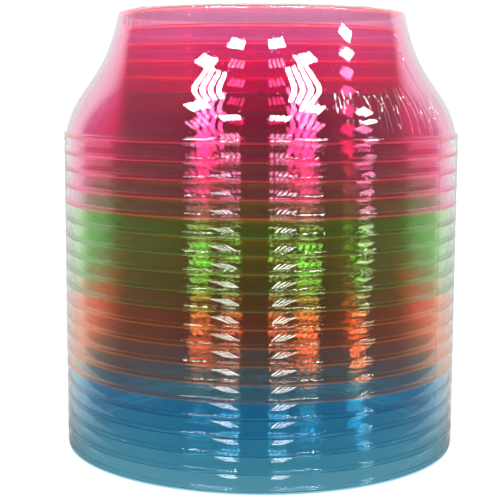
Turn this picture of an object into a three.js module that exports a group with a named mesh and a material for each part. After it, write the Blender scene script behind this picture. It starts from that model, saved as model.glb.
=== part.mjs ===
// A retail pack of nested party bowls in clear shrink film.
//
// Twenty thin plastic bowls stand upside down, each pushed over the one below it: five pink,
// five green, five orange and five blue, from the top down. A sleeve of clear film is shrunk
// round the whole stack and turned in over the uppermost base.
//
// Millimetres, +Z up. The origin is the centre of the lowest rim's underside, so the pack
// stands on the plane z = 0. Every bowl is one closed body of revolution, and so is the film.

import * as THREE from 'three';

// ---- Driving dimensions ----------------------------------------------------------------------

const RIM_DIAMETER = 127;       // over the bead that runs round the rim
const BOWL_HEIGHT = 39.4;       // from the rim's underside to the flat base
const BASE_DIAMETER = 91.4;     // over the corner of the flat base
const FOOT_HEIGHT = 13.3;       // straight conical foot next to the base
const FOOT_DRAFT = 19.9;        // the foot's slope, in degrees off the axis
const BAND_HEIGHT = 5.13;       // straight band next to the rim
const BAND_DRAFT = 13.9;        // the band's slope, in degrees off the axis
const WALL = 1;                 // thickness of wall and base
const BEAD_HEIGHT = 1.4;        // the rim's bead, along the axis
const BEAD_OVERHANG = 0.5;      // how far the bead stands out from the wall
const NEST_CLEARANCE = 0.3;     // gap left where one bowl sits on the next

const FILM_THICKNESS = 0.2;
const FILM_CLEARANCE = 0.3;     // gap between the film and what it hugs
const FILM_OPENING = 60;        // diameter of the round opening left over the uppermost base
const FILM_RAISE = 0.8;         // how far above the lowest rim's underside the film ends

const BOWLS_PER_COLOUR = 5;
const SEGMENTS = 24;            // flats round the axis
const SHOULDER_STEPS = 3;       // straight steps that stand for the curved shoulder

// Colours from the top of the stack down.
const COLOURS = [
  { name: 'pink', colour: 0xf0417f },
  { name: 'green', colour: 0x5fc04a },
  { name: 'orange', colour: 0xff8a3c },
  { name: 'blue', colour: 0x2ba0d6 },
];
const FILM_COLOUR = 0xf4f7fa;

// ---- Outline of one bowl -----------------------------------------------------------------------

const rimRadius = RIM_DIAMETER / 2;
const baseRadius = BASE_DIAMETER / 2;
const footSlope = Math.tan(THREE.MathUtils.degToRad(FOOT_DRAFT));
const bandSlope = Math.tan(THREE.MathUtils.degToRad(BAND_DRAFT));
const wallFootRadius = rimRadius - BEAD_OVERHANG;

// The wall's outer line from the base's centre to the rim's plane: flat base, conical foot,
// S-shaped shoulder, band. x is the radius and y the height above the rim's underside.
function outerLine() {
  const footEnd = new THREE.Vector2(baseRadius + footSlope * FOOT_HEIGHT, BOWL_HEIGHT - FOOT_HEIGHT);
  const bandTop = new THREE.Vector2(wallFootRadius - bandSlope * BAND_HEIGHT, BAND_HEIGHT);
  const points = [new THREE.Vector2(0, BOWL_HEIGHT), new THREE.Vector2(baseRadius, BOWL_HEIGHT), footEnd];
  for (let step = 1; step < SHOULDER_STEPS; step += 1) {
    points.push(shoulderPoint(footEnd, bandTop, step / SHOULDER_STEPS));
  }
  points.push(bandTop, new THREE.Vector2(wallFootRadius, 0));
  return points;
}

// A point on the shoulder, a cubic that leaves the foot and meets the band at their own slopes.
// A slope is limited to three times the average, past which the curve would swing back.
function shoulderPoint(from, to, t) {
  const drop = from.y - to.y;
  const steepest = 3 * (to.x - from.x) / drop;
  const slopeIn = Math.min(footSlope, steepest);
  const slopeOut = Math.min(bandSlope, steepest);
  const radius = (2 * t ** 3 - 3 * t ** 2 + 1) * from.x
    + (t ** 3 - 2 * t ** 2 + t) * drop * slopeIn
    + (3 * t ** 2 - 2 * t ** 3) * to.x
    + (t ** 3 - t ** 2) * drop * slopeOut;
  return new THREE.Vector2(radius, from.y - drop * t);
}

// The same line moved sideways by a distance: outwards where it is positive.
function offsetLine(points, distance) {
  return points.map((point, index) => {
    const before = points[Math.max(index - 1, 0)];
    const after = points[Math.min(index + 1, points.length - 1)];
    const normalIn = index > 0 ? normalOf(before, point) : normalOf(point, after);
    const normalOut = index < points.length - 1 ? normalOf(point, after) : normalIn;
    const middle = normalIn.clone().add(normalOut).normalize();
    return point.clone().addScaledVector(middle, distance / middle.dot(normalIn));
  });
}

// The outward normal of a stretch that runs from the axis towards the rim.
function normalOf(from, to) {
  const along = to.clone().sub(from).normalize();
  return new THREE.Vector2(-along.y, along.x);
}

// The wall's inner line, one wall inside the outer one and cut off at the rim's plane.
function innerLine(outer) {
  const inner = offsetLine(outer, -WALL);
  inner[inner.length - 1].set(wallFootRadius - WALL * Math.hypot(1, bandSlope), 0);
  return inner;
}

// ---- How deep one bowl sits on the next ---------------------------------------------------------

// The radius of a line at a height, where the line's height falls from point to point.
function radiusAt(line, height) {
  for (let index = 1; index < line.length; index += 1) {
    const upper = line[index - 1];
    const lower = line[index];
    if (height <= upper.y && height >= lower.y && upper.y > lower.y) {
      return THREE.MathUtils.mapLinear(height, upper.y, lower.y, upper.x, lower.x);
    }
  }
  return null;
}

// The least sideways gap between a bowl and the next one, which sits lower by the given step.
function nestGap(outer, inner, step) {
  const heights = [...inner.map((point) => point.y), ...outer.map((point) => point.y - step)];
  const gaps = heights.map((height) => {
    const inside = radiusAt(inner, height);
    const outside = radiusAt(outer, height + step);
    return inside === null || outside === null ? Infinity : inside - outside;
  });
  return Math.min(...gaps);
}

// The distance from one rim to the next: a bowl drops until its wall, or its base, is one
// clearance away from the bowl below it.
function settledStep(outer, inner) {
  let tooLow = WALL + NEST_CLEARANCE;
  let free = BOWL_HEIGHT;
  if (nestGap(outer, inner, tooLow) >= NEST_CLEARANCE) {
    return tooLow;
  }
  while (free - tooLow > 1e-4) {
    const middle = (tooLow + free) / 2;
    if (nestGap(outer, inner, middle) >= NEST_CLEARANCE) {
      free = middle;
    } else {
      tooLow = middle;
    }
  }
  return free;
}

// ---- Solids -------------------------------------------------------------------------------------

// A solid of revolution about +Z. The profile runs from the top outwards and down.
function revolve(profile) {
  const geometry = new THREE.LatheGeometry([...profile].reverse(), SEGMENTS);
  geometry.rotateX(Math.PI / 2);
  return geometry;
}

// One bowl: the outer line down to the bead, round the bead, and the inner line back up.
function bowlGeometry(outer, inner) {
  const beadRoot = new THREE.Vector2(wallFootRadius - bandSlope * BEAD_HEIGHT, BEAD_HEIGHT);
  const bead = [beadRoot, new THREE.Vector2(rimRadius, BEAD_HEIGHT), new THREE.Vector2(rimRadius, 0)];
  return revolve([...outer.slice(0, -1), ...bead, ...[...inner].reverse()]);
}

// The film: it turns in over the uppermost base, follows that bowl's wall down to its band,
// and from there hangs straight past every rim.
function filmGeometry(outer, topRimHeight) {
  const hugged = offsetLine(outer.slice(0, -1), FILM_CLEARANCE).slice(1);
  const over = hugged.map((point) => new THREE.Vector2(point.x, point.y + topRimHeight));
  const sleeveRadius = rimRadius + FILM_CLEARANCE;
  const inside = [
    new THREE.Vector2(FILM_OPENING / 2, over[0].y),
    ...over,
    new THREE.Vector2(sleeveRadius, topRimHeight + BEAD_HEIGHT + FILM_CLEARANCE),
    new THREE.Vector2(sleeveRadius, FILM_RAISE),
  ];
  const outside = offsetLine(inside, FILM_THICKNESS);
  return revolve([...outside, ...[...inside].reverse(), outside[0]]);
}

// ---- The pack -----------------------------------------------------------------------------------

const outer = outerLine();
const inner = innerLine(outer);
const stackStep = settledStep(outer, inner);
const bowlCount = BOWLS_PER_COLOUR * COLOURS.length;
const topRimHeight = stackStep * (bowlCount - 1);

const pack = new THREE.Group();

COLOURS.forEach(({ name, colour }, colourIndex) => {
  for (let number = 1; number <= BOWLS_PER_COLOUR; number += 1) {
    const placesDown = colourIndex * BOWLS_PER_COLOUR + number - 1;
    const material = new THREE.MeshStandardMaterial({ color: colour, roughness: 0.08, metalness: 0 });
    const bowl = new THREE.Mesh(bowlGeometry(outer, inner), material);
    bowl.name = `${name}_bowl_${number}`;
    bowl.position.z = topRimHeight - placesDown * stackStep;
    pack.add(bowl);
  }
});

const filmMaterial = new THREE.MeshStandardMaterial({ color: FILM_COLOUR, roughness: 0.05, metalness: 0 });
const film = new THREE.Mesh(filmGeometry(outer, topRimHeight), filmMaterial);
film.name = 'shrink_film';
pack.add(film);

export default pack;
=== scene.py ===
# %% [markdown]
# A retail pack of twenty clear party bowls
#
# Twenty thin injection-moulded bowls stand upside down, each pushed over the one below it: five
# pink, five green, five orange and five blue. A sleeve of clear film is shrunk round them all.
# Everything that can be seen is clear and glossy, so the picture is made of three things: light
# that comes through many tinted walls, light that bounces off their shiny faces, and the glow
# that a fluorescent plastic sends out at its edges.
#
# All lengths are metres. The stack's axis is Z, and it stands on the plane z = 0.

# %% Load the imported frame
import math

import bpy
import numpy as np
from mathutils import Matrix, Vector


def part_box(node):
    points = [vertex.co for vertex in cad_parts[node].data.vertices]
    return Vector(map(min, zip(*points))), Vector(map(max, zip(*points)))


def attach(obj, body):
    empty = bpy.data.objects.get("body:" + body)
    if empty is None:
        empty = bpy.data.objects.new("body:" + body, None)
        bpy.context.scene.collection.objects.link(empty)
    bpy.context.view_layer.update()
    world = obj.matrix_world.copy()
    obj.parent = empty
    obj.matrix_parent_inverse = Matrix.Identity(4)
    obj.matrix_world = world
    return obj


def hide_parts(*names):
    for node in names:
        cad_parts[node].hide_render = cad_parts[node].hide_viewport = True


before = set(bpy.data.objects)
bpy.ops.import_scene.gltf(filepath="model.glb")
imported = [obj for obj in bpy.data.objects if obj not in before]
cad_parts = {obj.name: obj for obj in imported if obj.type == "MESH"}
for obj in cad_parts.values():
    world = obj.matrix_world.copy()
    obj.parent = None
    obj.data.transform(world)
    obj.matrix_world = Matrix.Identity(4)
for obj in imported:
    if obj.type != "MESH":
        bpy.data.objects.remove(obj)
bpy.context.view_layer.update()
MM = 0.001

# %% [markdown]
# The order of the bowls
#
# Each bowl is its own body in the frame, so the names and heights are read from there. The
# lowest corner of a bowl's box is its rim's underside, and the box is as wide as the rim.

# %% Read the bowls' places from the frame
COLOURS = ["pink", "green", "orange", "blue"]
NUMBERS = range(1, 6)
bowl_names = [f"{colour}_bowl_{number}" for colour in COLOURS for number in NUMBERS]
rim_heights = {name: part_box(name)[0].z for name in bowl_names}
RIM_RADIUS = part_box(bowl_names[0])[1].x
BOWL_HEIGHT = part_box(bowl_names[0])[1].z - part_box(bowl_names[0])[0].z
top_rim = rim_heights[bowl_names[0]]
STACK_STEP = top_rim / (len(bowl_names) - 1)
print(f"rim {2 * RIM_RADIUS / MM:.1f} mm, bowl {BOWL_HEIGHT / MM:.1f} mm, step {STACK_STEP / MM:.2f} mm")

# %% [markdown]
# The outline of one bowl
#
# On the real bowl the mould gives a flat base, a nearly straight foot, an S-shaped shoulder and
# a band that ends in a small rolled bead. The band is bowed by less than a tenth of a millimetre.
# That is enough for each bowl to catch a distant lamp in one small spot. A bowl is round, so one
# outline turned about the axis makes it. The outline could be drawn by hand, but a formula keeps
# the curve even, and an uneven curve shows at once in a glossy surface.
#
# Small round corners matter here more than size suggests: a sharp corner of clear plastic
# shows no highlight at all.

# %% Outline of the wall's outer side
WALL = 1.0 * MM
BASE_RADIUS = 45.7 * MM
BAND_SLOPE = math.tan(math.radians(13.9))
BEAD_HEIGHT = 1.4 * MM
BEAD_OVERHANG = 0.5 * MM
BASE_CORNER = 1.1 * MM
BEAD_CORNER = 0.3 * MM
BEAD_FILLET = 0.19 * MM
LIP_CORNER = 0.22 * MM
# How much the wall moves out for each millimetre down, at these heights above the rim in mm.
SLOPE_HEIGHTS = [1.2, 5.3, 8.5, 15.1, 21.7, 28.3, 35.0, 39.4]
SLOPES = [0.65 * BAND_SLOPE, 1.35 * BAND_SLOPE, 0.48, 0.74, 0.58, 0.37, 0.27, 0.22]
wall_foot = RIM_RADIUS - BEAD_OVERHANG


def arc(centre, radius, start, end, count):
    """Points on a round corner, between two angles in degrees."""
    angles = np.radians(np.linspace(start, end, count))
    return [(centre[0] + radius * math.cos(a), centre[1] + radius * math.sin(a)) for a in angles]


def wall_line(count=46):
    """The wall from the base's corner to the bead. The slopes are smoothed, added up and scaled to fit."""
    steps = 1200
    half_window = 55
    fine = np.linspace(BOWL_HEIGHT, 0, steps + 1)
    slope = np.interp(fine / MM, SLOPE_HEIGHTS, SLOPES)
    window = np.hanning(2 * half_window + 1)
    slope = np.convolve(np.pad(slope, half_window, mode="edge"), window / window.sum(), mode="valid")
    out = np.concatenate([[0], np.cumsum((slope[1:] + slope[:-1]) / 2 * (BOWL_HEIGHT / steps))])
    radius = BASE_RADIUS + out * (wall_foot - BASE_RADIUS) / out[-1]
    heights = np.linspace(BOWL_HEIGHT - 1.6 * MM, BEAD_HEIGHT + 0.35 * MM, count)
    heights = np.append(heights, BEAD_HEIGHT + 0.24 * MM)
    return [(np.interp(-z, -fine, radius), z) for z in heights]


def outer_line():
    """From the middle of the base out, round the corner and down the wall to the top of the bead."""
    wall = wall_line()
    lean = math.degrees(math.atan2(wall[0][0] - BASE_RADIUS, BOWL_HEIGHT - wall[0][1]))
    corner = (wall[0][0] - BASE_CORNER - 0.12 * MM, BOWL_HEIGHT - BASE_CORNER)
    points = [(r * MM, BOWL_HEIGHT) for r in (2.2, 5, 12, 22, 32, 40)]
    points.append((corner[0] - 0.4 * MM, BOWL_HEIGHT))
    return points + arc(corner, BASE_CORNER, 90, lean, 7) + wall


def offset_line(points, distance):
    """The same line moved sideways, outwards where the distance is positive."""
    line = np.array(points)
    along = np.gradient(line, axis=0)
    along /= np.linalg.norm(along, axis=1)[:, None]
    return [tuple(p) for p in line + distance * np.stack([-along[:, 1], along[:, 0]], 1)]


outer = outer_line()
print("outline points:", len(outer))

# %% [markdown]
# The whole section
#
# The inner side is the outer one moved in by the wall's thickness. The bead rounds the rim, and
# a gate mark, the small nub where the plastic was let into the mould, sits in the middle of the
# base. Along with each point goes a number for how much painted glow it gets. The glow stands in
# for the light that fluorescent plastic carries inside the wall and lets out at the rim and at
# the base corner.

# %% Closed section of one bowl, with its painted edge glow
def bowl_section():
    """The gate mark, the outer side, the bead, the lip and the inner side, back to the axis."""
    inner = offset_line(outer, -WALL)
    foot_of_wall = outer[-1][0]
    fillet_centre = (foot_of_wall + BEAD_FILLET, BEAD_HEIGHT + BEAD_FILLET)
    bead_middle = RIM_RADIUS - BEAD_CORNER
    straight_end = 0.42 * MM
    bead = arc(fillet_centre, BEAD_FILLET, 190, 262, 5)
    bead += arc((bead_middle, BEAD_HEIGHT - BEAD_CORNER), BEAD_CORNER, 84, 4, 6)
    bead += [(RIM_RADIUS, BEAD_HEIGHT - straight_end), (RIM_RADIUS, straight_end)]
    bead += arc((bead_middle, BEAD_CORNER), BEAD_CORNER, -4, -86, 6)
    rim_inside = wall_foot - WALL * math.hypot(1, BAND_SLOPE)
    lip = arc((rim_inside + LIP_CORNER, LIP_CORNER), LIP_CORNER, -90, -180, 4)
    gate = [(r * MM, BOWL_HEIGHT + z * MM) for r, z in ((0.0, 0.3), (0.9, 0.28), (1.3, 0.1), (1.6, 0.0))]
    inner_up = [p for p in reversed(inner) if p[1] > 0.5 * MM] + [(0.0, BOWL_HEIGHT - WALL)]
    return gate + outer + bead + lip + inner_up


# Strength of the painted glow on the bead's lower edge, and how far the painted glow reaches from the base
# corner.
RIM_LIGHT = 0.42
CORNER_LIGHT_REACH = 0.8 * MM


def painted_edge_light(radius, height):
    """How much painted glow an outer point gets: 1 on the base's corner, RIM_LIGHT on the bead's lower edge,
    else 0.
    """
    rim = np.clip(1.0 - height / (0.55 * MM), 0, 1) * (radius > wall_foot - 0.2 * MM)
    inset = 0.1 * MM
    from_corner = np.hypot(radius - (BASE_RADIUS - inset), height - (BOWL_HEIGHT - inset))
    corner = np.clip(1.3 - from_corner / CORNER_LIGHT_REACH, 0, 1)
    return np.maximum(RIM_LIGHT * rim, corner)


section = bowl_section()
print("section points:", len(section))

# %% [markdown]
# Turning a section about the axis
#
# Blender has a Screw modifier for this. Here the vertices are laid out in code, because the
# painted edge glow has to be written on the mesh too, ring by ring, and because a closed section
# needs single vertices where it meets the axis.

# %% Lathe helper
ROUND_STEPS = 192


def turned_mesh(name, points, turns, height):
    """A mesh of revolution about Z. The points run from the axis back to the axis."""
    ring_points = [p for p in points if p[0] > 1e-9]
    rings = np.array(ring_points)
    light = painted_edge_light(rings[:, 0], rings[:, 1])
    cos, sin = np.cos(turns), np.sin(turns)
    count, steps = len(rings), len(turns)
    co = np.empty((count * steps + 2, 3))
    co[:-2, 0] = (rings[:, 0, None] * cos).ravel()
    co[:-2, 1] = (rings[:, 0, None] * sin).ravel()
    co[:-2, 2] = np.repeat(rings[:, 1], steps)
    co[-2], co[-1] = (0, 0, points[0][1]), (0, 0, points[-1][1])
    co[:, 2] += height
    near = np.arange(steps)
    far = (near + 1) % steps
    faces = []
    for ring in range(count - 1):
        a, b = ring * steps, (ring + 1) * steps
        faces += np.stack([a + near, b + near, b + far, a + far], 1).tolist()
    last = (count - 1) * steps
    faces += np.stack([np.full(steps, count * steps), near, far], 1).tolist()
    faces += np.stack([np.full(steps, count * steps + 1), last + far, last + near], 1).tolist()
    mesh = bpy.data.meshes.new(name)
    mesh.from_pydata(co.tolist(), [], faces)
    mesh.shade_smooth()
    glow = mesh.attributes.new("painted_edge_light", "FLOAT", "POINT")
    glow.data.foreach_set("value", np.append(np.repeat(light, steps), (0, 0)).astype(np.float32))
    return mesh


print("steps round a bowl:", ROUND_STEPS)

# %% [markdown]
# Pieces that stand in for the plain solids
#
# Each finished piece has to move with its own body, and the plain solid that it stands for is
# hidden. This could be written out for every piece, but one helper says it the same way for all
# twenty-one.

# %% Helper that shows a piece
def show(name, mesh, material, body, node):
    """A piece that moves with a body and stands for that body's plain solid."""
    piece = bpy.data.objects.new(name, mesh)
    bpy.context.scene.collection.objects.link(piece)
    mesh.materials.append(material)
    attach(piece, body)
    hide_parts(node)
    return piece


# %% [markdown]
# Building materials out of nodes
#
# The materials here are worked out from position, with no picture on any surface. Nodes can be
# added one at a time, but much of such a material is plain arithmetic, and a few helpers make
# it read like arithmetic. Everything is round, so the handiest coordinates are the turn about the
# axis and the height.

# %% Node helpers
def new_group(name, inputs, outputs):
    """An empty shader group with typed sockets. Returns the tree and its two end nodes."""
    tree = bpy.data.node_groups.new(name, "ShaderNodeTree")
    for label, kind, value in inputs:
        socket = tree.interface.new_socket(label, in_out="INPUT", socket_type=kind)
        socket.default_value = value
    for label, kind in outputs:
        tree.interface.new_socket(label, in_out="OUTPUT", socket_type=kind)
    return tree, tree.nodes.new("NodeGroupInput"), tree.nodes.new("NodeGroupOutput")


def math_node(tree, operation, first, second=None, clamp=False):
    """A Math node. Each value is a socket or a number."""
    node = tree.nodes.new("ShaderNodeMath")
    node.operation, node.use_clamp = operation, clamp
    for index, value in enumerate((first, second)):
        if isinstance(value, (int, float)):
            node.inputs[index].default_value = value
        elif value is not None:
            tree.links.new(value, node.inputs[index])
    return node.outputs[0]


def multiply(tree, first, second, clamp=False):
    return math_node(tree, "MULTIPLY", first, second, clamp)


def subtract(tree, first, second, clamp=False):
    return math_node(tree, "SUBTRACT", first, second, clamp)


def noise_node(tree, vector, scale, detail=0.0):
    node = tree.nodes.new("ShaderNodeTexNoise")
    node.inputs["Scale"].default_value = scale
    node.inputs["Detail"].default_value = detail
    tree.links.new(vector, node.inputs["Vector"])
    return node.outputs["Fac"]


def round_coordinates(tree):
    """Sockets for the turn about the axis, in radians, and the height, in metres."""
    place = tree.nodes.new("ShaderNodeTexCoord").outputs["Object"]
    split = tree.nodes.new("ShaderNodeSeparateXYZ")
    tree.links.new(place, split.inputs[0])
    turn = math_node(tree, "ARCTAN2", split.outputs["X"], split.outputs["Y"])
    return place, turn, split.outputs["Z"]


# %% [markdown]
# What every moulded face has in common
#
# A new bowl is glossy, but not a perfect mirror. The melt leaves faint flow lines that run from
# the gate to the rim, and the polish of the mould is a little uneven. Scratches could be added
# too, but a bowl fresh from the mould has none. All four plastics need the same two marks, so
# they are one node group with its own inputs. It puts out a roughness, a height for a Bump node
# and a number that deepens the tint here and there.

# %% Node group: the moulded face
CLOUD_SCALE = 55.0
# How fast the flow pattern changes round the axis (per radian) and up the wall (per metre).
FLOW_ROUND, FLOW_UP = 9.0, 38.0


def moulded_face_group():
    tree, given, out = new_group(
        "moulded_face",
        [("Gloss Roughness", "NodeSocketFloat", 0.004), ("Unevenness", "NodeSocketFloat", 0.02),
         ("Flow Lines", "NodeSocketFloat", 0.5)],
        [("Roughness", "NodeSocketFloat"), ("Height", "NodeSocketFloat"), ("Depth", "NodeSocketFloat")])
    place, turn, height = round_coordinates(tree)
    cloudy = noise_node(tree, place, CLOUD_SCALE)
    join = tree.nodes.new("ShaderNodeCombineXYZ")
    tree.links.new(multiply(tree, turn, FLOW_ROUND), join.inputs[0])
    tree.links.new(multiply(tree, height, FLOW_UP), join.inputs[1])
    flow = noise_node(tree, join.outputs[0], 2.0, 1.0)
    rough = multiply(tree, math_node(tree, "POWER", cloudy, 3.0), given.outputs["Unevenness"])
    tree.links.new(math_node(tree, "ADD", rough, given.outputs["Gloss Roughness"]), out.inputs["Roughness"])
    tree.links.new(multiply(tree, flow, given.outputs["Flow Lines"]), out.inputs["Height"])
    tree.links.new(flow, out.inputs["Depth"])
    return tree


moulded_face = moulded_face_group()
print("nodes in moulded_face:", len(moulded_face.nodes))

# %% [markdown]
# The painted glow at the edges
#
# A fluorescent dye soaks up light over the whole wall and gives it out again in one colour.
# Most of it is trapped inside the wall, as in a light guide, and comes out at the rim and the
# base corner, which is why those lines look lit. Tracing that would take very long, so the glow
# is painted: the group reads the number stored on the mesh and turns it into a little emitted
# colour, in random patches, and adds a faint painted glow over the whole wall.

# %% Node group: the painted edge glow
PATCH_SCALE = 22.0
LEAST_GLOW = 0.45


def painted_edge_glow_group():
    tree, given, out = new_group(
        "painted_edge_glow",
        [("Edge Glow", "NodeSocketColor", (1, 1, 1, 1)), ("Edge Amount", "NodeSocketFloat", 1.0),
         ("Wall Glow", "NodeSocketColor", (0, 0, 0, 1))],
        [("Emission", "NodeSocketColor")])
    stored = tree.nodes.new("ShaderNodeAttribute")
    stored.attribute_name = "painted_edge_light"
    place, _turn, _height = round_coordinates(tree)
    patchy = math_node(tree, "ADD", noise_node(tree, place, PATCH_SCALE), LEAST_GLOW)
    amount = multiply(tree, patchy, given.outputs["Edge Amount"])
    scale = tree.nodes.new("ShaderNodeVectorMath")
    scale.operation = "SCALE"
    tree.links.new(given.outputs["Edge Glow"], scale.inputs[0])
    tree.links.new(multiply(tree, stored.outputs["Fac"], amount), scale.inputs["Scale"])
    total = tree.nodes.new("ShaderNodeVectorMath")
    tree.links.new(scale.outputs[0], total.inputs[0])
    tree.links.new(given.outputs["Wall Glow"], total.inputs[1])
    tree.links.new(total.outputs[0], out.inputs["Emission"])
    return tree


painted_edge_glow = painted_edge_glow_group()
print("nodes in painted_edge_glow:", len(painted_edge_glow.nodes))

# %% [markdown]
# Clear tinted plastic
#
# The walls are real solids with two faces, so real glass shading does the work: each face
# reflects a little and bends the rest, and each wall takes away some of the other colours.
# Where many walls lie behind each other the reflections stack up and the light from behind
# runs out, which is why the middle of such a pack looks dark.
#
# Shadow rays and soft light from the floor can't be traced through forty bent faces, so for
# those the wall is a plain tinted filter. The painted glow at the edges and over the wall is too
# weak to light anything else, so it isn't sampled as a lamp, which saves a great deal of time.

# %% Material of a bowl
PLASTICS = {
    # name: tint of one wall, colour and amount of the painted glow at the edges, painted glow of the whole
    # wall
    "pink": ((0.985, 0.63, 0.80), (1.0, 0.09, 0.06), 0.85, (0.011, 0.0030, 0.0050)),
    "green": ((0.77, 0.93, 0.67), (0.25, 0.90, 0.35), 0.20, (0.0025, 0.0045, 0.0018)),
    "orange": ((1.0, 0.77, 0.62), (1.0, 0.38, 0.12), 0.45, (0.007, 0.0027, 0.0018)),
    "blue": ((0.58, 0.85, 0.935), (0.10, 0.60, 0.85), 0.12, (0.0010, 0.0018, 0.0024)),
}
PLASTIC_IOR = 1.57
DEEP_TINT = 1.25


def plastic(colour):
    tint, edge_glow, edge_amount, painted_wall_glow = PLASTICS[colour]
    material = bpy.data.materials.new(f"clear_{colour}_plastic")
    material.use_nodes = True
    material.cycles.emission_sampling = "NONE"
    tree = material.node_tree
    tree.nodes.clear()
    link = tree.links.new
    face = tree.nodes.new("ShaderNodeGroup")
    face.node_tree = moulded_face
    # The glow at the edges and the faint glow over the whole wall are painted emission.
    edge = tree.nodes.new("ShaderNodeGroup")
    edge.node_tree = painted_edge_glow
    edge.inputs["Edge Glow"].default_value = (*edge_glow, 1)
    edge.inputs["Edge Amount"].default_value = edge_amount
    edge.inputs["Wall Glow"].default_value = (*painted_wall_glow, 1)
    blend = tree.nodes.new("ShaderNodeMix")
    blend.data_type = "RGBA"
    blend.inputs[6].default_value = (*tint, 1)
    blend.inputs[7].default_value = (*[c ** DEEP_TINT for c in tint], 1)
    link(face.outputs["Depth"], blend.inputs[0])
    bump = tree.nodes.new("ShaderNodeBump")
    bump.inputs["Strength"].default_value = 0.01
    bump.inputs["Distance"].default_value = 0.0003
    link(face.outputs["Height"], bump.inputs["Height"])
    clear = tree.nodes.new("ShaderNodeBsdfPrincipled")
    clear.inputs["IOR"].default_value = PLASTIC_IOR
    clear.inputs["Transmission Weight"].default_value = 1.0
    clear.inputs["Emission Strength"].default_value = 1.0
    link(blend.outputs[2], clear.inputs["Base Color"])
    link(face.outputs["Roughness"], clear.inputs["Roughness"])
    link(bump.outputs["Normal"], clear.inputs["Normal"])
    # The painted glow goes in as the plastic's emission.
    link(edge.outputs["Emission"], clear.inputs["Emission Color"])
    filtered = tree.nodes.new("ShaderNodeBsdfTransparent")
    filtered.inputs["Color"].default_value = (*[0.97 * c ** 0.5 for c in tint], 1)
    path = tree.nodes.new("ShaderNodeLightPath")
    soft = math_node(tree, "MAXIMUM", path.outputs["Is Shadow Ray"], path.outputs["Is Diffuse Ray"])
    mix = tree.nodes.new("ShaderNodeMixShader")
    link(soft, mix.inputs[0])
    link(clear.outputs[0], mix.inputs[1])
    link(filtered.outputs[0], mix.inputs[2])
    output = tree.nodes.new("ShaderNodeOutputMaterial")
    link(mix.outputs[0], output.inputs["Surface"])
    return material


# %% [markdown]
# The twenty bowls
#
# The bowls of one colour are alike, so one loop makes them all at the heights the frame gives.
# The columns of each mesh start at a turn of their own, so that the tiny flats of one bowl don't
# line up with the next one's. The flow lines differ by themselves, because they are worked out
# from each bowl's height in the pack.

# %% Make the bowls
rng = np.random.default_rng(11)
even_turns = np.linspace(0, 2 * math.pi, ROUND_STEPS, endpoint=False)
for colour in COLOURS:
    material = plastic(colour)
    for number in NUMBERS:
        name = f"{colour}_bowl_{number}"
        turns = even_turns + rng.uniform(0, 2 * math.pi)
        mesh = turned_mesh(f"clear_{name}", section, turns, rim_heights[name])
        show(f"clear_{name}", mesh, material, name, name)
print("faces in one bowl:", len(mesh.polygons))

# %% [markdown]
# The shrink film
#
# A tube of thin film is slipped over the stack and shrunk with hot air. It pulls tight over the
# uppermost bowl and hangs straight past the rims. Where the tube has to get narrower it can't
# shrink evenly, so it gathers: small pleats round the top corner, fine upright folds on the
# shoulder, and one long seam where the tube was welded. A cloth simulation could find folds of
# its own, but these have to sit in certain places, so each fold is laid down as a narrow ridge.

# %% Outline that the film follows
FILM_THICKNESS = 0.1 * MM
FILM_GAP = 0.22 * MM
FILM_OPENING = 30.0 * MM
FILM_MARGIN = 0.1 * MM
SLEEVE_HOLLOW = 0.16 * MM
SLEEVE_START = 1.3 * MM
film_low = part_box("shrink_film")[0].z
film_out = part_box("shrink_film")[1].x


def film_line():
    """Inner side of the film, from the opening on top to the lower end."""
    hugged = [(r, z + top_rim) for r, z in offset_line(outer, FILM_GAP) if r > FILM_OPENING]
    first, last = hugged[0], hugged[-1]
    over_base = [(FILM_OPENING + t * (first[0] - FILM_OPENING), first[1]) for t in np.linspace(0, 0.9, 8)]
    hugged = over_base + hugged
    sleeve = film_out - FILM_MARGIN - FILM_THICKNESS
    sleeve_top = top_rim + SLEEVE_START
    out, down = sleeve - last[0], last[1] - sleeve_top
    bridge = [(last[0] + t * out, last[1] - t * down) for t in (0.4, 0.75, 1.0)]
    walls = []
    for z in np.arange(sleeve_top, film_low, -STACK_STEP / 4)[1:]:
        between_rims = (z - 0.7 * MM) / STACK_STEP % 1
        walls.append((sleeve - SLEEVE_HOLLOW * math.sin(math.pi * between_rims) ** 2, z))
    return np.array(hugged + bridge + walls + [(sleeve, film_low)])


film_profile = film_line()
print("film rows:", len(film_profile))

# %% [markdown]
# Where the folds are
#
# Every fold has a place round the axis, a width, a height, a slant and a stretch of the outline
# that it runs along. Turns are counted from the side that faces the camera, to the right.
# Placing some two hundred folds by hand would be slow and look regular, so a seeded random
# generator draws them from a few ranges, and gives the same folds every time.

# %% Lay out the folds
SEAM_TURN = math.radians(58)
# Each row: how many folds, their turns in degrees, widths and heights in mm, how far below the top
# corner they start and how long they are in mm, and the largest slant in degrees.
GATHERS = [
    # pleats on the top corner, all round and then denser in front
    (110, (-180, 180), (0.7, 1.3), (0.05, 0.14), (-1.5, -0.3), (1.5, 4), 3),
    (34, (-25, 62), (0.6, 1.0), (0.10, 0.24), (-1.5, -0.3), (1.5, 3.5), 3),
    # crimps on the top corner at the left
    (12, (-68, -44), (0.9, 1.6), (0.3, 0.7), (-1.5, 0.5), (4, 8), 7),
    # upright folds on the shoulder, at the right, at the left and behind
    (12, (26, 78), (0.7, 1.0), (0.05, 0.12), (22, 30), (6, 12), 1.5),
    (5, (-75, -50), (0.7, 1.0), (0.04, 0.1), (22, 31), (5, 11), 1.5),
    (24, (120, 250), (0.7, 1.1), (0.06, 0.2), (22, 31), (5, 12), 1.5),
]


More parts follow.
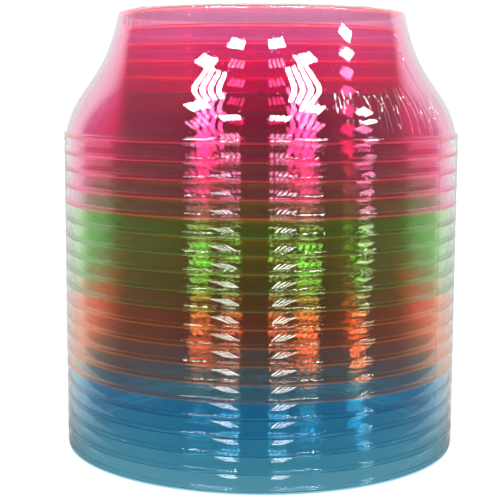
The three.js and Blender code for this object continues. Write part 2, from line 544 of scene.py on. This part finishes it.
def fold_list():
    """Rows of (turn, width, height, upper end, lower end, slant), lengths in metres."""
    rng = np.random.default_rng(29)
    corner = top_rim + BOWL_HEIGHT
    folds = []
    for count, turns, widths, heights, starts, lengths, slant in GATHERS:
        for _ in range(count):
            top_end = corner - rng.uniform(*starts) * MM
            turn = math.radians(rng.uniform(*turns))
            width = rng.uniform(*widths) * MM
            height = rng.uniform(*heights) * MM
            low_end = top_end - rng.uniform(*lengths) * MM
            folds.append((turn, width, height, top_end, low_end, math.radians(rng.uniform(-slant, slant))))
    return folds


folds = fold_list()
print("folds:", len(folds))

# %% [markdown]
# How fine the film's mesh is
#
# A fold narrower than the gap between two columns of the mesh can't be seen. A finer mesh all
# round would show it, but would also be several times heavier. So the columns stand closer
# together where the folds are, and closest of all at the seam.

# %% Film columns and the height of the folds
# Each row: a range of turns in degrees, and how much denser than elsewhere its columns are.
DENSE_TURNS = [(18, 80, 2.6), (-76, -28, 1.5), (120, 180, 0.8), (-180, -110, 0.8), (-28, 18, 0.8)]
SEAM_HALF_ANGLE = math.radians(2.2)
SEAM_DENSITY = 9.0


def film_turns(count=960):
    """The turns of the mesh's columns, spaced by how dense they should be."""
    fine = np.linspace(-math.pi, math.pi, 7201)
    density = np.full_like(fine, 1.0)
    for low, high, extra in DENSE_TURNS:
        density += extra * ((fine > math.radians(low)) & (fine < math.radians(high)))
    density += SEAM_DENSITY * (np.abs(fine - SEAM_TURN) < SEAM_HALF_ANGLE)
    total = np.concatenate([[0], np.cumsum(density[:-1])])
    return np.interp(np.linspace(0, total[-1], count, endpoint=False), total, fine)


def sideways(turn, radius):
    """Signed distance round the film for a turn, which is brought into the half circle either side."""
    return ((turn + math.pi) % (2 * math.pi) - math.pi) * radius


def fold_relief(turn, height, radius):
    """How far each point of the film stands out, in metres. All three are arrays of one shape."""
    relief = np.zeros_like(turn)
    for place, width, rise, upper, lower, slant in folds:
        span = np.clip((upper - height) / max(upper - lower, 1e-6), 0, 1)
        across = sideways(turn - place - slant * (span - 0.5), radius)
        relief += rise * np.exp(-((across / (0.42 * width)) ** 2)) * np.sin(math.pi * span) ** 0.7
    return relief


# %% [markdown]
# Putting the film together
#
# The folds, the raised seam with its crinkles and a slow unevenness of the whole sleeve are added
# to the outline. The film is a thin shell with two skins, closed at both ends.

# %% Make the film's mesh
SEAM_HEIGHT = 0.24 * MM
SEAM_WIDTH = 0.45 * MM
SLEEVE_WAVE = 0.035 * MM
MOST_RELIEF = 0.8 * MM
# Waves along the seam, in radians per metre, chosen so that the pattern doesn't repeat on its length.
WOBBLE_SLOW, WOBBLE_FAST = 233, 620
CRINKLE_SLOW, CRINKLE_FAST = 1130, 2900


def film_relief(turn, height, radius):
    """The folds, the seam and the sleeve's slow waves together."""
    relief = fold_relief(turn, height, radius)
    wobble = 0.5 * MM * np.sin(height * WOBBLE_FAST) * np.sin(height * WOBBLE_SLOW + 1)
    wobble *= height < top_rim + 4 * MM
    crinkle = 1 + 0.7 * np.sin(height * CRINKLE_FAST) * np.sin(height * CRINKLE_SLOW)
    seam_fade = np.clip((top_rim + BOWL_HEIGHT - height) / (6 * MM), 0, 1)
    from_seam = (sideways(turn - SEAM_TURN, radius) - wobble) / SEAM_WIDTH
    relief += SEAM_HEIGHT * crinkle * seam_fade * np.exp(-(from_seam ** 2))
    below_rim = np.clip((top_rim - height) / (9 * MM), 0, 1)
    relief += SLEEVE_WAVE * (1 + np.sin(5 * turn + height * 60)) * below_rim
    return np.minimum(relief, MOST_RELIEF)


def opening_wave(turn, height, radius):
    """How far the edge of the opening over the base runs in and out."""
    from_opening = np.clip((radius - FILM_OPENING) / (13 * MM), 0, 1)
    over_base = height > top_rim + BOWL_HEIGHT
    wave = 1.6 * MM * np.sin(7 * turn + 1) + 0.9 * MM * np.sin(17 * turn)
    return (1 - from_opening) ** 2 * over_base * wave


def film_mesh():
    """A closed shell of two skins, with its columns laid out by film_turns."""
    turns = film_turns()
    steps = len(turns)
    turn, row = np.meshgrid(turns, np.arange(len(film_profile)))
    radius, height = film_profile[row, 0], film_profile[row, 1]
    normal = np.array(offset_line(film_profile, 1.0)) - film_profile
    relief = film_relief(turn, height, radius)
    edge_wave = opening_wave(turn, height, radius)
    skins = []
    for thickness in (FILM_THICKNESS, 0.0):
        r = radius + (relief + thickness) * normal[row, 0] + edge_wave
        z = height + (relief + thickness) * normal[row, 1]
        skins.append(np.stack([r * np.sin(turn), -r * np.cos(turn), z], -1).reshape(-1, 3))
    co = np.concatenate(skins)
    rows = len(film_profile)
    near = np.arange(steps)
    far = (near + 1) % steps
    faces, inner = [], rows * steps
    for r in range(rows - 1):
        a, b = r * steps, (r + 1) * steps
        faces += np.stack([a + near, b + near, b + far, a + far], 1).tolist()
        faces += np.stack([inner + a + far, inner + b + far, inner + b + near, inner + a + near], 1).tolist()
    last = (rows - 1) * steps
    faces += np.stack([near, far, inner + far, inner + near], 1).tolist()
    faces += np.stack([last + far, last + near, inner + last + near, inner + last + far], 1).tolist()
    mesh = bpy.data.meshes.new("clear_film")
    mesh.from_pydata(co.tolist(), [], faces)
    mesh.shade_smooth()
    return mesh


# %% [markdown]
# Stretch marks
#
# Where the film had to shrink most, on the shoulder, it is drawn into fine upright streaks.
# They are far finer than the mesh, so they aren't modelled: a node group makes them from a
# stretched noise, for a Bump node. It also gives the whole film a very slight unevenness.

# %% Node group: stretch marks of the film
# The streaks lie on the shoulder's right side. The turn is in radians from the back, to the right.
STREAKS_MIDDLE = 2.3
STREAKS_SPREAD = 0.5


def stretch_marks_group():
    tree, given, out = new_group(
        "stretch_marks",
        [("Streaks", "NodeSocketFloat", 1.0), ("Waves", "NodeSocketFloat", 0.008),
         ("Gloss Roughness", "NodeSocketFloat", 0.04), ("Streaks From", "NodeSocketFloat", 0.101),
         ("Streaks To", "NodeSocketFloat", 0.118)],
        [("Roughness", "NodeSocketFloat"), ("Height", "NodeSocketFloat")])
    link = tree.links.new
    place, turn, height = round_coordinates(tree)

    def stretched(across, along):
        join = tree.nodes.new("ShaderNodeCombineXYZ")
        link(multiply(tree, turn, across), join.inputs[0])
        link(multiply(tree, height, along), join.inputs[1])
        return join.outputs[0]

    # Narrow ridges where a stretched noise passes its middle value, in patches.
    streak_noise = noise_node(tree, stretched(22.0, 45.0), 1.0)
    from_middle = math_node(tree, "ABSOLUTE", subtract(tree, streak_noise, 0.5))
    ridges = subtract(tree, 1.0, multiply(tree, from_middle, 16.0), clamp=True)
    patch_noise = noise_node(tree, stretched(1.6, 30.0), 1.0)
    patches = multiply(tree, subtract(tree, patch_noise, 0.42), 6.0, clamp=True)
    above = multiply(tree, subtract(tree, height, given.outputs["Streaks From"]), 400.0, clamp=True)
    below = multiply(tree, subtract(tree, given.outputs["Streaks To"], height), 250.0, clamp=True)
    off_middle = math_node(tree, "ABSOLUTE", subtract(tree, turn, STREAKS_MIDDLE))
    beside = multiply(tree, subtract(tree, STREAKS_SPREAD, off_middle), 8.0, clamp=True)
    place_mask = multiply(tree, multiply(tree, above, below), beside)
    streaks = multiply(tree, multiply(tree, ridges, patches), place_mask)
    streaks = multiply(tree, streaks, given.outputs["Streaks"])
    soft = noise_node(tree, place, 90.0)
    waves = multiply(tree, soft, given.outputs["Waves"])
    link(math_node(tree, "ADD", streaks, waves), out.inputs["Height"])
    rough = multiply(tree, math_node(tree, "POWER", soft, 2.0), 0.04)
    link(math_node(tree, "ADD", rough, given.outputs["Gloss Roughness"]), out.inputs["Roughness"])
    return tree


# %% [markdown]
# Film material
#
# The film is so thin that it doesn't bend light, it only reflects some of it, more at a
# glancing angle. A glass shader on its two skins would bend the light, and cost two more
# refractions for every ray. So it is a see-through shader mixed with a glossy one by Fresnel. A
# Fresnel node turns its index round on the far side of a face, as in a solid, and the node
# below undoes that.

# %% Film material
FILM_SHINE = 0.6
FILM_IOR = 1.5


def film_material():
    material = bpy.data.materials.new("clear_shrink_film")
    material.use_nodes = True
    tree = material.node_tree
    tree.nodes.clear()
    link = tree.links.new
    marks = tree.nodes.new("ShaderNodeGroup")
    marks.node_tree = stretch_marks_group()
    marks.inputs["Streaks From"].default_value = top_rim + 1 * MM
    marks.inputs["Streaks To"].default_value = top_rim + 17 * MM
    bump = tree.nodes.new("ShaderNodeBump")
    bump.inputs["Strength"].default_value = 1.0
    bump.inputs["Distance"].default_value = 0.0002
    link(marks.outputs["Height"], bump.inputs["Height"])
    side = tree.nodes.new("ShaderNodeNewGeometry")
    back_drop = multiply(tree, side.outputs["Backfacing"], FILM_IOR - 1 / FILM_IOR)
    index = subtract(tree, FILM_IOR, back_drop)
    fresnel = tree.nodes.new("ShaderNodeFresnel")
    link(index, fresnel.inputs["IOR"])
    link(bump.outputs["Normal"], fresnel.inputs["Normal"])
    clear = tree.nodes.new("ShaderNodeBsdfTransparent")
    clear.inputs["Color"].default_value = (0.985, 0.985, 0.985, 1)
    gloss = tree.nodes.new("ShaderNodeBsdfAnisotropic")
    link(marks.outputs["Roughness"], gloss.inputs["Roughness"])
    link(bump.outputs["Normal"], gloss.inputs["Normal"])
    path = tree.nodes.new("ShaderNodeLightPath")
    soft = math_node(tree, "MAXIMUM", path.outputs["Is Shadow Ray"], path.outputs["Is Diffuse Ray"])
    shine = multiply(tree, fresnel.outputs[0], FILM_SHINE)
    amount = multiply(tree, shine, subtract(tree, 1.0, soft))
    mix = tree.nodes.new("ShaderNodeMixShader")
    link(amount, mix.inputs[0])
    link(clear.outputs[0], mix.inputs[1])
    link(gloss.outputs[0], mix.inputs[2])
    output = tree.nodes.new("ShaderNodeOutputMaterial")
    link(mix.outputs[0], output.inputs["Surface"])
    return material


film = show("clear_shrink_film", film_mesh(), film_material(), "film", "shrink_film")
print("faces in the film:", len(film.data.polygons))

# %% [markdown]
# Floor
#
# A plain pale table top. It gives back most of the light, and a little is added for an even
# white, as on an overexposed sweep of paper. In front of the pack the floor is dark for every ray
# but the camera's own, or its reflection would lie over the bands as a white veil. Inside the
# lowest rim the floor glows with a painted blue light, which stands in for the light that reaches
# it through the blue walls round it.

# %% Make the floor
FLOOR_GLOW = 0.6
SEEN_GLOW = 0.4
# Colour of the painted blue glow of the floor inside the lowest rim.
PAINTED_UNDER_LIGHT = (0.24, 0.56, 0.68)
DARK_FROM, LIT_FROM = -0.10, 0.05
FLOOR_DROP = 0.4 * MM


def floor_piece():
    size, corner = 2.6, 0.6
    outline = []
    for cx, cy, start in ((1, 1, 0), (-1, 1, 90), (-1, -1, 180), (1, -1, 270)):
        outline += arc((cx * (size - corner), cy * (size - corner)), corner, start, start + 90, 8)
    mesh = bpy.data.meshes.new("pale_floor")
    mesh.from_pydata([(x, y, 0) for x, y in outline], [], [list(range(len(outline)))])
    material = bpy.data.materials.new("pale_paper")
    material.use_nodes = True
    material.cycles.emission_sampling = "NONE"
    tree = material.node_tree
    tree.nodes.clear()
    link = tree.links.new
    place, _turn, _height = round_coordinates(tree)
    split = tree.nodes.new("ShaderNodeSeparateXYZ")
    link(place, split.inputs[0])
    reach = tree.nodes.new("ShaderNodeMapRange")
    reach.inputs["From Min"].default_value = DARK_FROM
    reach.inputs["From Max"].default_value = LIT_FROM
    link(split.outputs["Y"], reach.inputs["Value"])
    apart = tree.nodes.new("ShaderNodeVectorMath")
    apart.operation = "LENGTH"
    link(place, apart.inputs[0])
    inside = math_node(tree, "LESS_THAN", apart.outputs["Value"], RIM_RADIUS)
    seen = tree.nodes.new("ShaderNodeLightPath").outputs["Is Camera Ray"]
    behind_or_seen = math_node(tree, "MAXIMUM", reach.outputs[0], seen)
    lit = math_node(tree, "MAXIMUM", behind_or_seen, inside)
    # Inside the lowest rim the floor's emitted colour is a painted blue glow.
    colour = tree.nodes.new("ShaderNodeMix")
    colour.data_type = "RGBA"
    colour.inputs[6].default_value = (1, 1, 1, 1)
    colour.inputs[7].default_value = (*PAINTED_UNDER_LIGHT, 1)
    link(inside, colour.inputs[0])
    paper = tree.nodes.new("ShaderNodeBsdfPrincipled")
    paper.inputs["Base Color"].default_value = (0.85, 0.85, 0.85, 1)
    paper.inputs["Roughness"].default_value = 0.9
    paper.inputs["Specular IOR Level"].default_value = 0.0
    link(colour.outputs[2], paper.inputs["Emission Color"])
    glow = math_node(tree, "ADD", FLOOR_GLOW, multiply(tree, seen, SEEN_GLOW))
    link(multiply(tree, lit, glow), paper.inputs["Emission Strength"])
    dim = tree.nodes.new("ShaderNodeBsdfDiffuse")
    dim.inputs["Color"].default_value = (0.03, 0.03, 0.03, 1)
    mix = tree.nodes.new("ShaderNodeMixShader")
    link(lit, mix.inputs[0])
    link(dim.outputs[0], mix.inputs[1])
    link(paper.outputs[0], mix.inputs[2])
    output = tree.nodes.new("ShaderNodeOutputMaterial")
    link(mix.outputs[0], output.inputs["Surface"])
    mesh.materials.append(material)
    floor = bpy.data.objects.new("pale_floor", mesh)
    floor.location.z = -FLOOR_DROP
    bpy.context.scene.collection.objects.link(floor)


floor_piece()

# %% [markdown]
# The room
#
# Clear plastic has hardly a colour of its own: it shows what stands round it. Here that is a
# white backdrop behind the pack and a dim room in front. The backdrop's upright ends show on
# both sides of the pack as a change from pale to dark. The backdrop is part of the world's
# background, picked out by direction. It isn't sampled as a lamp either: its light comes through
# bent faces, where rays aimed at it never arrive.

# %% World: white behind, dim in front
BACKDROP_HALF_ANGLE = 52.0
BACKDROP_SOFTNESS = 8.0
BACKDROP_TOP = 42.0
BACKDROP_TOP_SOFTNESS = 20.0
BACKDROP_LIGHT = 1.0
ROOM_LIGHT = (0.010, 0.009, 0.009)
SIDE_LIGHT = 0.13
LOW_LIGHT = 0.05
LOW_LIGHT_ENDS = 34
LOW_LIGHT_FULL = 10


def room_world():
    world = bpy.data.worlds.new("room")
    bpy.context.scene.world = world
    world.use_nodes = True
    world.cycles.sampling_method = "NONE"
    tree = world.node_tree
    tree.nodes.clear()
    link = tree.links.new
    split = tree.nodes.new("ShaderNodeSeparateXYZ")
    link(tree.nodes.new("ShaderNodeTexCoord").outputs["Generated"], split.inputs[0])
    x, y, z = split.outputs
    squares = math_node(tree, "ADD", multiply(tree, x, x), multiply(tree, y, y))
    level = math_node(tree, "SQRT", squares)
    behind = math_node(tree, "DIVIDE", y, math_node(tree, "MAXIMUM", level, 1e-4))

    def ramp(value, low, high):
        node = tree.nodes.new("ShaderNodeMapRange")
        node.interpolation_type = "SMOOTHSTEP"
        link(value, node.inputs["Value"])
        node.inputs["From Min"].default_value = low
        node.inputs["From Max"].default_value = high
        return node.outputs["Result"]

    def cosine(degrees):
        return math.cos(math.radians(degrees))

    def sine(degrees):
        return math.sin(math.radians(degrees))

    wide, narrow = BACKDROP_HALF_ANGLE + BACKDROP_SOFTNESS, BACKDROP_HALF_ANGLE - BACKDROP_SOFTNESS
    high, low = BACKDROP_TOP + BACKDROP_TOP_SOFTNESS, BACKDROP_TOP - BACKDROP_TOP_SOFTNESS
    side_edge = ramp(behind, cosine(wide), cosine(narrow))
    top_edge = ramp(z, sine(high), sine(low))
    white = multiply(tree, multiply(tree, side_edge, top_edge), BACKDROP_LIGHT)
    side_wall = multiply(tree, ramp(behind, -0.95, -0.25), SIDE_LIGHT)
    low_wall = multiply(tree, ramp(z, sine(LOW_LIGHT_ENDS), sine(LOW_LIGHT_FULL)), LOW_LIGHT)
    white = math_node(tree, "MAXIMUM", white, math_node(tree, "ADD", side_wall, low_wall))
    seen = tree.nodes.new("ShaderNodeLightPath").outputs["Is Camera Ray"]
    blend = tree.nodes.new("ShaderNodeMix")
    blend.data_type = "RGBA"
    blend.inputs[6].default_value = (*ROOM_LIGHT, 1)
    blend.inputs[7].default_value = (1, 1, 1, 1)
    link(math_node(tree, "MAXIMUM", white, seen), blend.inputs[0])
    background = tree.nodes.new("ShaderNodeBackground")
    background.inputs["Strength"].default_value = 1.02
    link(blend.outputs[2], background.inputs["Color"])
    output = tree.nodes.new("ShaderNodeOutputWorld")
    link(background.outputs[0], output.inputs["Surface"])


room_world()

# %% [markdown]
# Ceiling lamps
#
# Soft light comes from ceiling panels with four tubes each. Their reflections are what makes
# the plastic look glossy. The near panels show on the foot and the shoulder, and every shoulder
# in the stack repeats them. The two long, distant panels stand low over the horizon and show as
# one small striped spot on each band. Each tube is a flat glowing strip, and the camera itself
# doesn't see it.

# %% Make the lamps
CEILING = 3.1
LOOK_FROM = 0.1
TUBES = 4
# Each row: name, turn and elevation in degrees as seen from LOOK_FROM up the pack's axis,
# length, tube width and tube spacing in metres, and strength.
LAMPS = [
    ("lamp_front_left", -21, 43.5, 0.62, 0.12, 0.20, 60),
    ("lamp_front_right", 13, 43.5, 0.62, 0.12, 0.20, 60),
    ("lamp_distant_left", -18.5, 14.6, 5.8, 0.17, 0.50, 20),
    ("lamp_distant_right", 12.3, 14.6, 5.8, 0.17, 0.50, 20),
    ("lamp_left", -52, 52, 0.62, 0.13, 0.20, 60),
    ("lamp_right", 41, 52, 0.62, 0.13, 0.20, 60),
    ("lamp_near_left", -58, 63, 0.9, 0.11, 0.20, 60),
    ("lamp_near_right", 45, 63, 0.9, 0.11, 0.20, 60),
    ("lamp_side_right", 76, 40, 0.62, 0.15, 0.20, 40),
    ("lamp_far_right", 72, 31, 0.9, 0.13, 0.20, 40),
]


def glowing(name, strength):
    material = bpy.data.materials.new(name)
    material.use_nodes = True
    material.cycles.emission_sampling = "NONE"
    tree = material.node_tree
    tree.nodes.clear()
    light = tree.nodes.new("ShaderNodeEmission")
    light.inputs["Strength"].default_value = strength
    output = tree.nodes.new("ShaderNodeOutputMaterial")
    tree.links.new(light.outputs[0], output.inputs["Surface"])
    return material


def ceiling_lamp(name, turn, elevation, length, tube_width, spacing, strength):
    """Tubes that lie along Y under the ceiling, with their middle in the given direction."""
    distance = (CEILING - LOOK_FROM) / math.tan(math.radians(elevation))
    angle = math.radians(turn)
    centre = Vector((math.sin(angle) * distance, -math.cos(angle) * distance, CEILING))
    co, faces = [], []
    for tube in range(TUBES):
        x = (tube - (TUBES - 1) / 2) * spacing
        base = len(co)
        for dx, dy in ((-1, -1), (-1, 1), (1, 1), (1, -1)):
            co.append(centre + Vector((x + dx * tube_width / 2, dy * length / 2, 0)))
        faces.append([base, base + 1, base + 2, base + 3])
    mesh = bpy.data.meshes.new(name)
    mesh.from_pydata([tuple(c) for c in co], [], faces)
    mesh.materials.append(glowing(name, strength))
    lamp = bpy.data.objects.new(name, mesh)
    lamp.visible_camera = lamp.visible_diffuse = lamp.visible_shadow = False
    bpy.context.scene.collection.objects.link(lamp)


for lamp_row in LAMPS:
    ceiling_lamp(*lamp_row)
print("lamps:", len(LAMPS))

# %% [markdown]
# Camera
#
# A long lens a little above the top rim and looking slightly down, so that the rims are seen
# almost edge-on and the lower ones curve more than the upper ones.

# %% Make the camera
LENS_TO_SENSOR = 2.4566
DISTANCE_IN_RIMS = 6.376
HEIGHT_IN_RIMS = 0.2261
TILT_DOWN, TURN_LEFT, ROLL = 7.311, 0.482, 0.2456
camera_data = bpy.data.cameras.new("camera")
camera_data.sensor_width = 36
camera_data.lens = LENS_TO_SENSOR * camera_data.sensor_width
camera_data.clip_start = 0.02
camera_data.clip_end = 60
camera = bpy.data.objects.new("camera", camera_data)
bpy.context.scene.collection.objects.link(camera)
bpy.context.scene.camera = camera
camera.location = (0, -DISTANCE_IN_RIMS * RIM_RADIUS, top_rim + HEIGHT_IN_RIMS * RIM_RADIUS)
camera.rotation_mode = "QUATERNION"
turned = Matrix.Rotation(math.radians(TURN_LEFT), 4, "Z")
tilted = Matrix.Rotation(math.radians(90 - TILT_DOWN), 4, "X")
rolled = Matrix.Rotation(math.radians(ROLL), 4, "Z")
camera.rotation_quaternion = (turned @ tilted @ rolled).to_quaternion()
print("lens, mm:", round(camera_data.lens, 1))

# %% [markdown]
# How the light is traced
#
# A ray can cross forty faces before it leaves the stack, so the number of bounces is set high.
# The plain view transform keeps the floor white and the plastics vivid.

# %% Bounces and view
scene = bpy.context.scene
scene.cycles.max_bounces = 44
scene.cycles.transmission_bounces = 44
scene.cycles.glossy_bounces = 24
scene.cycles.transparent_max_bounces = 96
scene.cycles.diffuse_bounces = 2
scene.view_settings.view_transform = "Standard"
